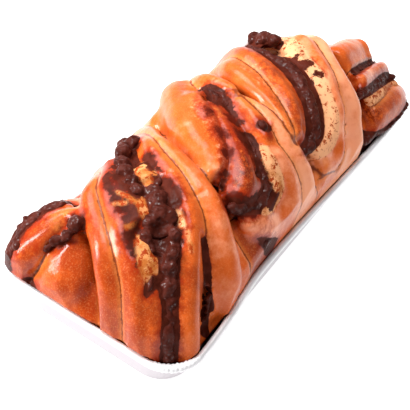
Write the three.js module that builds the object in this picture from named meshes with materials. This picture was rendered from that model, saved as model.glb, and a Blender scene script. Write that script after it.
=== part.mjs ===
// Braided chocolate loaf in the shallow foil tray it was baked in.
// Millimetres. The origin is the middle of the tray's underside, +Z is up,
// +X runs along the loaf from its near end to its far end, and +Y is across it.
import * as THREE from 'three';
import { mergeVertices } from 'three/addons/utils/BufferGeometryUtils.js';

// Foil tray
const trayLength = 264;
const trayWidth = 114;
const trayHeight = 28;
const wallFlare = 10;          // how much further out the rim is than the base, on each side
const rimCorner = 19;
const baseCorner = 17;
const foil = 0.5;              // stands in for 0.1 mm foil
const beadRadius = 1.7;        // the rolled edge
const baseEdge = 1.5;          // rounding between the base and the walls
const sidePull = 5;            // how far the long sides bow in at the rim
const pullAt = -48;            // where along the tray they bow in most
const pullNear = 34;           // reach of the bow towards the near end
const pullFar = 95;            // and towards the far end
const cornerSteps = 6;
const longSteps = 14;
const shortSteps = 4;
const foilColour = '#d9d9dc';

// Loaf
const gap = 0.4;               // between the bread and the foil
const leanOut = 1.5;           // over the rim the bread leans out this much for each millimetre up
const nearLean = 3.2;          // most it leans, at the near end, along the middle and at the far end
const middleLean = 0.8;
const farLean = 6;
const nearLeanFrom = -112;     // where along the loaf each change starts, and over what length
const nearLeanOver = 16;
const farLeanFrom = 78;
const farLeanOver = 14;
const fillHeight = trayHeight - 0.5;  // the dough fills the tray up to here
const coreHalf = 104;          // the bread's middle line runs this far each way
const coreHeight = 26;
const ringsAlong = 64;
const ringsPerEnd = 11;
const pointsAround = 38;
const ballSpacing = 0.4;       // along a strand, in radii
const curveSteps = 3;          // stations made from each given one, along a smooth curve
const searchSteps = 20;
const evenPasses = 2;
const crustColour = '#c9622b';

// The dough's layers and the filling between them: [x, y, z, radius] along each middle line.
const strands = {
  outerFold: [
    [-127, 44, 27, 4.6], [-127, 43, 38, 4.8], [-123, 43, 44, 5], [-116, 43, 48, 5.1],
    [-107, 42, 50, 5.1], [-100, 39, 50, 5.2], [-94, 37, 48, 4.6], [-88, 42, 34, 4.4],
  ],
  foldTip: [
    [-95, 40, 46, 2.5], [-98, 33, 54, 2.5],
  ],
  nearLobe: [
    [-127, 39, 34, 6], [-123, 37, 40, 8.5], [-117, 34, 44, 10.5], [-111, 31, 47, 11],
    [-106, 27, 51, 10], [-103, 22, 56, 8], [-106, 16, 60, 5],
  ],
  nearLobeFoot: [
    [-127, 41, 36, 3.5], [-127, 37, 31, 4], [-127, 35, 24, 4], [-126, 35, 14, 4],
  ],
  nearSeam: [
    [-122, 37, 29, 1.8], [-120, 35, 33, 2], [-120, 29, 46, 1.8], [-119, 24, 53, 2],
    [-116, 20, 58, 2.4],
  ],
  nearDrip: [
    [-126, 36, 32, 2], [-129, 32, 30, 2], [-130, 27, 29, 2],
  ],
  nearChip: [
    [-111, 20, 62, 4.2], [-110, 18, 63, 4.2],
  ],
  dome: [
    [-100, 24, 54, 8], [-106, 22, 47, 13.5], [-110, 18, 40, 17.5], [-112, 16, 34, 19.3],
    [-111, 15, 26, 20],
  ],
  domeSide: [
    [-121, 33, 26, 4], [-124, 27, 26, 6], [-124, 20, 26, 6], [-123, 11, 26, 7], [-123, 1, 27, 7],
    [-123, -6, 26, 7],
  ],
  lightRib: [
    [-62, 45, 20, 6], [-66, 41, 36, 6], [-74, 34, 50, 6], [-82, 28, 60, 5], [-93, 25, 63, 5],
    [-102, 16, 63, 6], [-112, 4, 62, 5.5], [-119, -4, 57, 5.5], [-123, -10, 49, 6],
    [-124, -14, 38, 6.5], [-124, -17, 20, 6.5],
  ],
  glossyRib: [
    [-53, 46, 22, 6], [-57, 42, 38, 6], [-66, 33, 53, 5.5], [-75, 27, 63, 4.5], [-86, 20, 66, 5.5],
    [-96, 10, 66, 6], [-103, 1, 65, 6.2], [-109, -7, 62, 6], [-114, -15, 59, 5.5],
    [-119, -21, 54, 5], [-122, -25, 47, 5.5], [-124, -30, 36, 6.5], [-124, -32, 20, 6.5],
  ],
  flankRib: [
    [-68, 31, 61, 5], [-84, 14, 67, 6], [-91, 3, 67, 6], [-97, -5, 67, 5],
  ],
  tornRib: [
    [-103, -11, 65, 3.5], [-106, -16, 61, 5.5], [-110, -20, 58, 5], [-115, -23, 56, 3.5],
  ],
  innerRib: [
    [-115, -26, 52, 5], [-119, -30, 46, 5.5], [-122, -35, 36, 6], [-123, -37, 18, 6],
  ],
  notchChip: [
    [-113, -25, 60, 2], [-116, -26, 57, 2.6], [-118, -26, 55, 2],
  ],
  crevice: [
    [-40, 47, 24, 5], [-44, 41, 40, 5], [-51, 33, 54, 5.5], [-70, 22, 64, 6], [-80, 10, 66, 6],
    [-83, 0, 66, 7], [-88, -11, 64, 7], [-94, -20, 61, 6],
  ],
  crumbPatch1: [
    [-70, 12, 70, 5], [-74, 4, 72, 3.5],
  ],
  crumbPatch2: [
    [-86, 1, 70, 3], [-91, -4, 69, 3],
  ],
  fillingRibbon: [
    [-99, -24, 62, 5.5], [-105, -28, 57, 4.6], [-109, -31, 54, 5.4], [-113, -35, 48, 4.4],
    [-118, -39, 41, 5], [-121, -42, 33, 4], [-121, -43, 24, 4.6],
  ],
  smoothRib: [
    [-30, 47, 20, 6], [-32, 43, 36, 6.5], [-37, 36, 49, 6.5], [-45, 28, 61, 5.5],
    [-53, 20, 70, 4.5], [-60, 11, 72, 5.5], [-66, -1, 72, 6], [-73, -11, 71, 6], [-79, -20, 68, 6],
    [-87, -27, 64, 5.5], [-94, -32, 59, 5.5], [-101, -37, 52, 6], [-108, -42, 42, 6.5],
    [-113, -46, 30, 6.5], [-114, -47, 16, 6],
  ],
  streak: [
    [-83, -32, 64, 0.7], [-87, -37, 58, 1.1], [-91, -42, 51, 1.4], [-96, -46, 42, 1.4],
    [-101, -49, 31, 1],
  ],
  outerRib1: [
    [-20, 46, 22, 7], [-24, 42, 40, 7], [-36, 31, 58, 6], [-48, 19, 71, 3.5], [-53, 10, 73, 5],
    [-58, -2, 73, 6], [-62, -14, 70, 7], [-66, -24, 66, 7.5], [-71, -32, 59, 8], [-75, -39, 49, 9],
    [-79, -43, 39, 9], [-83, -45, 25, 8],
  ],
  hollow: [
    [-53, -38, 49, 6], [-48, -41, 36, 7], [-46, -43, 22, 7],
  ],
  leftRib2a: [
    [12, 45, 18, 7], [10, 43, 37, 9], [6, 37, 55, 9], [-1, 37, 57, 10.5], [-24, 17, 66, 11],
    [-36, 3, 70, 10], [-45, -9, 71, 8], [-53, -18, 73, 4.5],
  ],
  leftRib2b: [
    [-8, 23, 70, 6], [-20, 10, 73, 7], [-29, 0, 73, 7], [-38, -9, 73, 6], [-48, -16, 74, 4],
  ],
  topRib2: [
    [26, 44, 18, 7], [23, 40, 37, 8], [17, 35, 54, 8], [10, 28, 67, 6], [7, 20, 73, 4.5],
    [4, 11, 76, 4], [0, 3, 78, 3],
  ],
  seam2: [
    [-7, 23, 72, 1.4], [-15, 16, 74, 1.5], [-24, 6, 76, 1.4], [-29, -3, 76, 1.4],
    [-34, -9, 75, 1.4], [-41, -15, 74, 1.5], [-50, -20, 73, 1.6], [-56, -22, 71, 1.8],
  ],
  stainedRib: [
    [-12, 13, 75, 3.5], [-19, 3, 75, 4.5], [-25, -7, 74, 5.5], [-31, -15, 72, 6.5],
    [-37, -22, 69, 7.8], [-43, -27, 66, 8.8], [-51, -29, 65, 8], [-57, -29, 66, 5.5],
  ],
  curlHeart: [
    [-42, -30, 66, 4.5], [-45, -31, 65, 4.5],
  ],
  filling2: [
    [-20, -17, 73, 2], [-24, -23, 70.5, 2.8], [-28, -27, 68, 3.4], [-31, -32, 65, 4.2],
    [-35, -37, 61, 5], [-43, -37, 60, 5.5], [-52, -35, 62, 5], [-59, -32, 66, 4],
  ],
  filling2Top: [
    [-1, 23, 73, 2.6], [-1, 17, 74, 3.4], [-3, 10, 75, 4], [-7, 5, 76, 2.4],
  ],
  paleRib2: [
    [-20, -26, 71, 3], [-23, -31, 68, 3.2], [-25, -35, 64, 3.5], [-28, -39, 60, 3.5],
    [-35, -41, 58, 3], [-44, -41, 58, 3],
  ],
  innerRib2a: [
    [0, 7, 77, 4], [0, 3, 76, 4.5], [-5, -6, 76, 5], [-10, -16, 74, 5], [-14, -23, 72, 4.5],
  ],
  innerRib2b: [
    [-16, -29, 69, 4], [-16, -35, 63, 5], [-16, -40, 56, 5.5], [-18, -44, 48, 6], [-22, -45, 42, 7],
    [-33, -44, 42, 7.5], [-48, -42, 52, 6], [-58, -39, 60, 3.5],
  ],
  innerFoot2: [
    [-24, -46, 36, 7], [-34, -46, 24, 7], [-40, -46, 16, 7],
  ],
  outerRib2: [
    [1, 1, 78, 2.5], [-1, -7, 77, 4], [-1, -15, 74, 5.5], [-3, -23, 71, 6], [-4, -30, 67, 6],
    [-4, -37, 60, 6.5], [-3, -42, 52, 6.5], [-4, -46, 42, 6.5], [-9, -47, 30, 6.5],
    [-14, -47, 18, 6],
  ],
  chip2: [
    [-11, -18, 78, 3.2], [-11, -20, 77, 3.2],
  ],
  underLump: [
    [-50, -43, 50, 3.5], [-46, -44, 45, 5], [-42, -45, 40, 4.5],
  ],
  leftRib3: [
    [38, 44, 18, 8], [36, 39, 35, 8], [33, 32, 51, 8.5], [28, 24, 66, 7.5], [22, 17, 71, 8],
    [16, 6, 74, 7.5], [11, -4, 76, 5.5], [8, -11, 76, 4.5], [5, -18, 75, 3.5], [1, -26, 73, 3],
    [-2, -33, 69, 2.5],
  ],
  stainedRib3: [
    [54, 45, 20, 7], [52, 40, 37, 8], [49, 33, 53, 8.5], [43, 26, 66, 7.5], [35, 16, 73, 7],
    [29, 4, 75, 6.5], [24, -6, 75, 6.5], [19, -15, 74, 6], [14, -22, 72, 5.5], [8, -28, 70, 4.5],
    [3, -33, 69, 3],
  ],
  filling3Top: [
    [63, 29, 62, 3.5], [62, 27, 69, 4.5], [60, 20, 72, 5], [60, 15, 75, 4.5],
  ],
  filling3: [
    [46, 24, 73, 3], [42, 13, 76, 4.5], [41, 4, 76, 5], [40, -5, 76, 5.5], [36, -13, 75, 5.5],
    [32, -20, 72, 6], [28, -26, 69, 6], [22, -31, 66, 6], [17, -35, 62, 6], [9, -37, 61, 5],
    [2, -39, 62, 3],
  ],
  paleRib3: [
    [80, 44, 20, 5], [79, 37, 36, 5], [76, 27, 52, 5], [72, 15, 64, 5], [66, 6, 69, 6.5],
    [53, -3, 76, 4.5], [49, -10, 76, 4], [48, -17, 74, 4.5], [44, -24, 72, 4.5], [40, -30, 67, 5],
    [35, -36, 63, 5], [29, -40, 59, 4.5], [20, -41, 57, 4.5], [9, -41, 58, 3.5],
  ],
  edgeRib3: [
    [92, 42, 20, 6], [90, 36, 38, 6], [85, 26, 52, 5], [79, 16, 63, 4], [74, 9, 70, 3.5],
    [71, 3, 75, 4], [66, -5, 75, 4], [57, -15, 76, 4], [51, -24, 74, 3.5], [45, -32, 70, 3],
    [42, -38, 64, 3.5], [36, -42, 57, 4], [32, -46, 49, 4.5], [25, -46, 45, 5.5], [13, -45, 48, 6],
  ],
  outerRib3: [
    [104, 40, 18, 7], [102, 34, 32, 7], [95, 24, 46, 6], [89, 12, 58, 5], [83, 2, 68, 4.5],
    [77, -7, 72, 4.5], [68, -17, 72, 4.5], [61, -26, 70, 5], [59, -32, 66, 5.5], [58, -39, 58, 6],
    [55, -43, 51, 6], [54, -46, 41, 6.5], [50, -47, 31, 7], [38, -47, 26, 7], [20, -47, 30, 6.5],
  ],
  foot3: [
    [12, -44, 46, 6], [20, -46, 36, 7], [24, -46, 20, 7],
  ],
  farLobe: [
    [82, -15, 63, 9], [98, -14, 57, 10], [112, -14, 51, 10.5], [119, -17, 51, 8.5],
  ],
  farSeam: [
    [74, -30, 66, 1.4], [93, -29, 59, 1.4], [120, -28, 49, 1.6],
  ],
  farRib: [
    [78, -33, 60, 5.5], [101, -31, 51, 6], [120, -32, 45, 5], [123, -36, 43, 3],
  ],
  farFilling: [
    [70, -39, 59, 3.5], [80, -39, 56, 3.2], [94, -38, 51, 3.6], [109, -37, 46, 4],
    [119, -37, 42, 3.6], [123, -40, 41, 3],
  ],
  farPale: [
    [74, -43, 54, 2.5], [93, -43, 47, 3], [116, -42, 38, 3.5], [124, -43, 38, 3.2],
  ],
  farRib2: [
    [80, -45, 40, 8.5], [96, -45, 37, 9.5], [112, -44, 32, 10.5], [123, -43, 28, 8.5],
  ],
  farFoot: [
    [66, -49, 33, 3.5], [82, -52, 32, 3], [94, -54, 31, 3], [106, -54, 31, 3], [116, -53, 31, 3],
    [122, -50, 30, 3],
  ],
  farEndA: [
    [121, -22, 40, 8], [123, -20, 30, 8], [122, -20, 16, 8],
  ],
  farEndB: [
    [100, 0, 44, 11], [114, -2, 38, 11], [122, -4, 28, 8], [122, -4, 14, 8],
  ],
  farEndC: [
    [92, 18, 42, 11], [108, 16, 36, 11], [120, 14, 28, 9], [121, 14, 14, 9],
  ],
  farEndD: [
    [96, 34, 34, 10], [112, 32, 30, 10], [119, 32, 22, 9],
  ],
  backFold: [
    [-122, 46, 16, 6], [-116, 46, 30, 6], [-100, 43, 38, 6], [-84, 42, 34, 7], [-76, 45, 20, 7],
  ],
  backRib1: [
    [-50, 47, 22, 7], [-52, 44, 42, 7], [-60, 30, 50, 7],
  ],
  backRib2: [
    [-10, 45, 18, 8], [-13, 41, 36, 9], [-19, 33, 53, 9],
  ],
};

// Lumps of chocolate, most of them in the open cut of the first hump: [x, y, z, radius].
const lumps = [
  [-50, 37, 59, 4], [-53, 30, 66, 4.4], [-58, 31, 65, 4], [-62, 29, 66, 4.4], [-70, 24, 68, 4],
  [-76, 18, 70, 4.4], [-80, 12, 70, 4.4], [-83, 6, 71, 4], [-79, 0, 72, 4], [-82, -5, 71, 5.2],
  [-87, -10, 70, 5], [-93, -9, 68, 4], [-99, -13, 66, 4.8], [-101, -18, 64, 4.2],
  [-86, -14, 69, 4.8], [-92, -20, 66, 4.8], [-96, -24, 63, 4.2], [-73, 1, 72, 2.6],
  [-100, -25, 64, 4.4], [-104, -28, 61, 4.2], [-108, -31, 56, 4], [-112, -35, 50, 3.6],
  [-111, 19, 63, 4], [-119, 25, 54, 2.4], [-120, 29, 48, 2.6], [-121, 33, 41, 2.4],
  [-46, -45, 46, 5.4], [62, 27, 68, 5], [61, 21, 72, 4.8], [60, 15, 75, 4], [64, 28, 63, 4.5],
  [57, 22, 73, 3.5],
];

// The plain dough under the layers: [x, y, z, radius] along each middle line.
const dough = {
  middle: [
    [-104, 2, 26, 22], [-60, 2, 40, 27], [0, 4, 42, 28], [55, 2, 40, 28], [80, -6, 34, 22],
    [104, -10, 24, 16],
  ],
  back: [
    [-104, 26, 20, 20], [-60, 20, 28, 26], [0, 20, 30, 26], [55, 20, 30, 26], [80, 18, 24, 20],
    [104, 18, 18, 18],
  ],
  front: [
    [-100, -26, 22, 22], [-60, -24, 30, 26], [0, -24, 30, 27], [55, -24, 30, 26],
    [85, -24, 24, 22], [104, -26, 18, 20],
  ],
};

// How far a long side is pulled in at x, where it is pulled in by `depth` at most.
function pull(x, depth) {
  const reach = x < pullAt ? pullNear : pullFar;
  return depth * Math.exp(-(((x - pullAt) / reach) ** 2));
}

// Corner radius of the tray's wall where it stands this far in from the rim.
function cornerAt(inset) {
  return rimCorner - inset * ((rimCorner - baseCorner) / wallFlare);
}

// Outline of the tray, anticlockwise: a rectangle with rounded corners and bowed long sides.
function outline(halfLength, halfWidth, corner, depth) {
  const cx = halfLength - corner;
  const cy = halfWidth - corner;
  const corners = [[cx, cy], [-cx, cy], [-cx, -cy], [cx, -cy]];
  const plan = [];
  corners.forEach(([x, y], k) => {
    for (let i = 0; i <= cornerSteps; i += 1) {
      const turn = (k + i / cornerSteps) * (Math.PI / 2);
      plan.push(new THREE.Vector2(x + corner * Math.cos(turn), y + corner * Math.sin(turn)));
    }
    const start = plan[plan.length - 1];
    const [nextX, nextY] = corners[(k + 1) % corners.length];
    const side = new THREE.Vector2(nextX - x, nextY - y);
    const steps = k % 2 === 0 ? longSteps : shortSteps;
    for (let i = 1; i < steps; i += 1) {
      plan.push(start.clone().addScaledVector(side, i / steps));
    }
  });
  plan.forEach((point) => {
    point.y -= pull(point.x, depth) * THREE.MathUtils.clamp(point.y / cy, -1, 1);
  });
  return plan;
}

// The tray's section, out along the underside, up the wall, round the rolled edge and back
// down inside to the floor: [inset from the rim, height].
function traySection() {
  const beadHeight = trayHeight - beadRadius;
  const wallTop = beadHeight - beadRadius;
  const section = [
    [wallFlare + baseEdge, 0],
    [wallFlare, baseEdge],
    [beadRadius, wallTop],
  ];
  [-45, 0, 45, 90, 135, 180].forEach((degrees) => {
    const turn = THREE.MathUtils.degToRad(degrees);
    const inset = beadRadius * (1 - Math.cos(turn));
    section.push([inset, beadHeight + beadRadius * Math.sin(turn)]);
  });
  section.push(
    [beadRadius + foil, wallTop],
    [wallFlare + foil, baseEdge + foil],
    [wallFlare + baseEdge + foil, foil],
  );
  return section;
}

// The seam's doubled points joined and the empty triangles at the poles dropped.
function closedSkin(geometry) {
  geometry.deleteAttribute('normal');
  geometry.deleteAttribute('uv');
  const skin = mergeVertices(geometry);
  const corners = skin.getIndex().array;
  const kept = [];
  for (let i = 0; i < corners.length; i += 3) {
    const [a, b, c] = corners.slice(i, i + 3);
    if (a !== b && b !== c && c !== a) kept.push(a, b, c);
  }
  skin.setIndex(kept);
  skin.computeVertexNormals();
  return skin;
}

// A lathed dish whose round rings are drawn out to the tray's outline.
function foilTray() {
  const section = traySection();
  const profile = section.map(([inset, z]) => new THREE.Vector2(trayWidth / 2 - inset, z));
  profile.unshift(new THREE.Vector2(0, 0));
  profile.push(new THREE.Vector2(0, foil));
  const rings = section.map(([inset, z]) => {
    const depth = sidePull * (z / trayHeight);
    return outline(trayLength / 2 - inset, trayWidth / 2 - inset, cornerAt(inset), depth);
  });
  const around = rings[0].length;
  const middle = Array(around).fill(new THREE.Vector2(0, 0));
  rings.unshift(middle);
  rings.push(middle);
  const geometry = new THREE.LatheGeometry(profile, around);
  const position = geometry.getAttribute('position');
  for (let i = 0; i < position.count; i += 1) {
    const level = i % profile.length;
    const spoke = Math.floor(i / profile.length) % around;
    const { x, y } = rings[level][spoke];
    position.setXYZ(i, x, y, profile[level].y);
  }
  return closedSkin(geometry);
}

// Stations along one smooth curve through the given ones, with the radius carried along.
function smoothed(path) {
  if (path.length < 3) return path;
  const at = (i) => path[THREE.MathUtils.clamp(i, 0, path.length - 1)];
  const stations = [];
  for (let i = 0; i + 1 < path.length; i += 1) {
    for (let k = 0; k < curveSteps; k += 1) {
      const t = k / curveSteps;
      stations.push(path[i].map((here, axis) => {
        const before = at(i - 1)[axis];
        const next = at(i + 1)[axis];
        const after = at(i + 2)[axis];
        const slope = (next - before) / 2;
        const bend = before - 2.5 * here + 2 * next - 0.5 * after;
        const twist = (3 * here - before - 3 * next + after) / 2;
        return here + slope * t + bend * t * t + twist * t ** 3;
      }));
    }
  }
  stations.push(path[path.length - 1]);
  return stations;
}

// A strand as closely set balls.
function ballsAlong(path) {
  const stations = smoothed(path);
  const balls = [];
  for (let i = 0; i + 1 < stations.length; i += 1) {
    const [a, b] = [stations[i], stations[i + 1]];
    const length = Math.hypot(b[0] - a[0], b[1] - a[1], b[2] - a[2]);
    const count = Math.max(1, Math.ceil(length / (ballSpacing * Math.min(a[3], b[3]))));
    for (let k = 0; k < count; k += 1) {
      balls.push(a.map((value, axis) => value + ((b[axis] - value) * k) / count));
    }
  }
  balls.push(stations[stations.length - 1]);
  return balls;
}

// How far the bread may hang over the rim, this far along the loaf.
function mostLean(x) {
  const nearEnd = THREE.MathUtils.clamp((nearLeanFrom - x) / nearLeanOver, 0, 1);
  const farEnd = THREE.MathUtils.clamp((x - farLeanFrom) / farLeanOver, 0, 1);
  return middleLean + (nearLean - middleLean) * nearEnd + (farLean - middleLean) * farEnd;
}

// Whether bread may be here: inside the walls, or leaning out a little above the rim.
function clearOfTray({ x, y, z }) {
  if (z < foil + gap) return false;
  const rise = Math.min(z / trayHeight, 1);
  const lean = Math.min(Math.max(z - trayHeight - gap, 0) * leanOut, mostLean(x));
  const wall = wallFlare * (1 - rise);
  const clearance = 2 * beadRadius + gap - lean;
  const inset = wall + clearance;
  const corner = cornerAt(wall) - clearance;
  const alongEdge = Math.abs(x) - (trayLength / 2 - inset - corner);
  const acrossEdge = Math.abs(y) + pull(x, sidePull * rise) - (trayWidth / 2 - inset - corner);
  const outside = Math.hypot(Math.max(alongEdge, 0), Math.max(acrossEdge, 0));
  return outside < corner;
}

// How far the layers of dough reach from a point on the middle line, in one direction.
function reachOf(core, way, balls) {
  const fill = way.z > 0 ? (fillHeight - core.z) / way.z : trayLength;
  let reach = Math.min(fill, trayLength);
  const toBall = new THREE.Vector3();
  let layers = 0;
  balls.forEach(([x, y, z, radius]) => {
    toBall.set(x, y, z).sub(core);
    const along = toBall.dot(way);
    const half = radius * radius - toBall.lengthSq() + along * along;
    if (half > 0) layers = Math.max(layers, along + Math.sqrt(half));
  });
  return heldIn(core, way, Math.max(reach, layers));
}

// That reach, held inside the tray.
function heldIn(core, way, reach) {
  const place = new THREE.Vector3();
  let inside = 0;
  let outside = 2 * reach;
  for (let i = 0; i < searchSteps && inside < reach; i += 1) {
    const trial = (inside + outside) / 2;
    if (clearOfTray(place.copy(core).addScaledVector(way, trial))) {
      inside = trial;
    } else {
      outside = trial;
    }
  }
  return Math.min(inside, reach);
}

// Each reach averaged with its neighbours', which rounds the bottoms of the folds.
function evened(reaches, skin) {
  const corners = skin.getIndex().array;
  const sums = reaches.map(() => 0);
  const neighbours = reaches.map(() => 0);
  for (let i = 0; i < corners.length; i += 3) {
    for (let k = 0; k < 3; k += 1) {
      const here = corners[i + k];
      sums[here] += reaches[corners[i + ((k + 1) % 3)]];
      neighbours[here] += 1;
    }
  }
  return reaches.map((reach, i) => (reach + sums[i] / neighbours[i]) / 2);
}

// A capsule round the bread's middle line, pushed out to the outermost layer of dough.
function loaf() {
  const balls = [...lumps];
  [...Object.values(dough), ...Object.values(strands)].forEach((path) => {
    balls.push(...ballsAlong(path));
  });
  const geometry = new THREE.CapsuleGeometry(1, 2 * coreHalf, ringsPerEnd, pointsAround, ringsAlong);
  geometry.rotateZ(-Math.PI / 2);
  const skin = closedSkin(geometry);
  const position = skin.getAttribute('position');
  const cores = [];
  const ways = [];
  for (let i = 0; i < position.count; i += 1) {
    const core = new THREE.Vector3(THREE.MathUtils.clamp(position.getX(i), -coreHalf, coreHalf), 0, 0);
    ways.push(new THREE.Vector3().fromBufferAttribute(position, i).sub(core).normalize());
    core.z = coreHeight;
    cores.push(core);
  }
  let reaches = cores.map((core, i) => reachOf(core, ways[i], balls));
  for (let pass = 0; pass < evenPasses; pass += 1) reaches = evened(reaches, skin);
  cores.forEach((core, i) => {
    const { x, y, z } = core.addScaledVector(ways[i], heldIn(core, ways[i], reaches[i]));
    position.setXYZ(i, x, y, z);
  });
  skin.computeVertexNormals();
  return skin;
}

function piece(name, geometry, look) {
  const mesh = new THREE.Mesh(geometry, new THREE.MeshStandardMaterial(look));
  mesh.name = name;
  return mesh;
}

const braidedLoaf = new THREE.Group();
braidedLoaf.add(piece('foil_tray', foilTray(), { color: foilColour, roughness: 0.3, metalness: 1 }));
braidedLoaf.add(piece('loaf', loaf(), { color: crustColour, roughness: 0.45, metalness: 0 }));

export default braidedLoaf;
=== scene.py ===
import math
import random

import bmesh
import bpy
import numpy as np
from mathutils import Matrix, Vector, noise


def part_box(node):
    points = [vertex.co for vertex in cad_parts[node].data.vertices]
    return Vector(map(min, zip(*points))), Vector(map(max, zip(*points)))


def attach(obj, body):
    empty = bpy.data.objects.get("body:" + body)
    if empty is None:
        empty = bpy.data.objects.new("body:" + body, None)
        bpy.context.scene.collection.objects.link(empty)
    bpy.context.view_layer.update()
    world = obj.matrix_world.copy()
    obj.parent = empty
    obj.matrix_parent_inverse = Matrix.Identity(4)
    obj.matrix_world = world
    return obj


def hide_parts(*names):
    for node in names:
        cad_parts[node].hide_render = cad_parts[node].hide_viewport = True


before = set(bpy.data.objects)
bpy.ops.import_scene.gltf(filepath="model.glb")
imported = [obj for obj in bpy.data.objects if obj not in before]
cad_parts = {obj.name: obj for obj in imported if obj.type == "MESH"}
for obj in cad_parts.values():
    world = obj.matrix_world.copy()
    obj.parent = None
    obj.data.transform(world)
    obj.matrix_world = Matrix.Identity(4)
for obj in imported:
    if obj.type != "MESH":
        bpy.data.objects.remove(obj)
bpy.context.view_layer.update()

# A braided chocolate loaf in the foil tray it was baked in. +X runs along the loaf from its near
# end to its far end, +Y across it, +Z up. Lengths are written in millimetres and scaled by MM.
MM = 0.001

# ---------------------------------------------------------------- sizes taken from the frame
TRAY_LOW, TRAY_HIGH = (np.array(corner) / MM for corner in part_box("foil_tray"))
HALF_LENGTH = (TRAY_HIGH[0] - TRAY_LOW[0]) / 2
RIM_HEIGHT = TRAY_HIGH[2]

# The tray's own sizes, as its maker would give them.
HALF_WIDTH = 57
WALL_FLARE = 10        # how much further out the rim is than the base
RIM_CORNER = 19
BASE_CORNER = 17
BEAD_RADIUS = 1.7      # the rolled edge
BASE_EDGE = 1.5
SIDE_PULL = 5          # how far the long sides bow in
PULL_AT = -48          # where they bow in most
PULL_NEAR = 34         # how far the bow reaches towards the near end
PULL_FAR = 95          # and towards the far end
FOIL = 0.3
CORNER_FOLDS = 7       # crimps in each corner
CRIMP = 0.7            # how deep a crimp is at the rim

# The bread against the foil.
GAP = 0.4
LEAN_OUT = 1.5         # the dough hangs out over the rim by this much for each millimetre it rises
LEAN_ALONG = (-128, -112, 78, 92)     # places along the loaf
MOST_LEAN = (3.2, 1.2, 0.8, 6)        # and how far the dough may hang over the rim at each
FLOOR_GAP = 0.9
MOULDED_HEIGHT = 25    # the dough takes the tray's shape up to here
PRESS = 2.2            # how far the dough near the rim spreads towards the foil
PRESS_HEIGHT = 12
PRESS_REACH = 15

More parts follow.
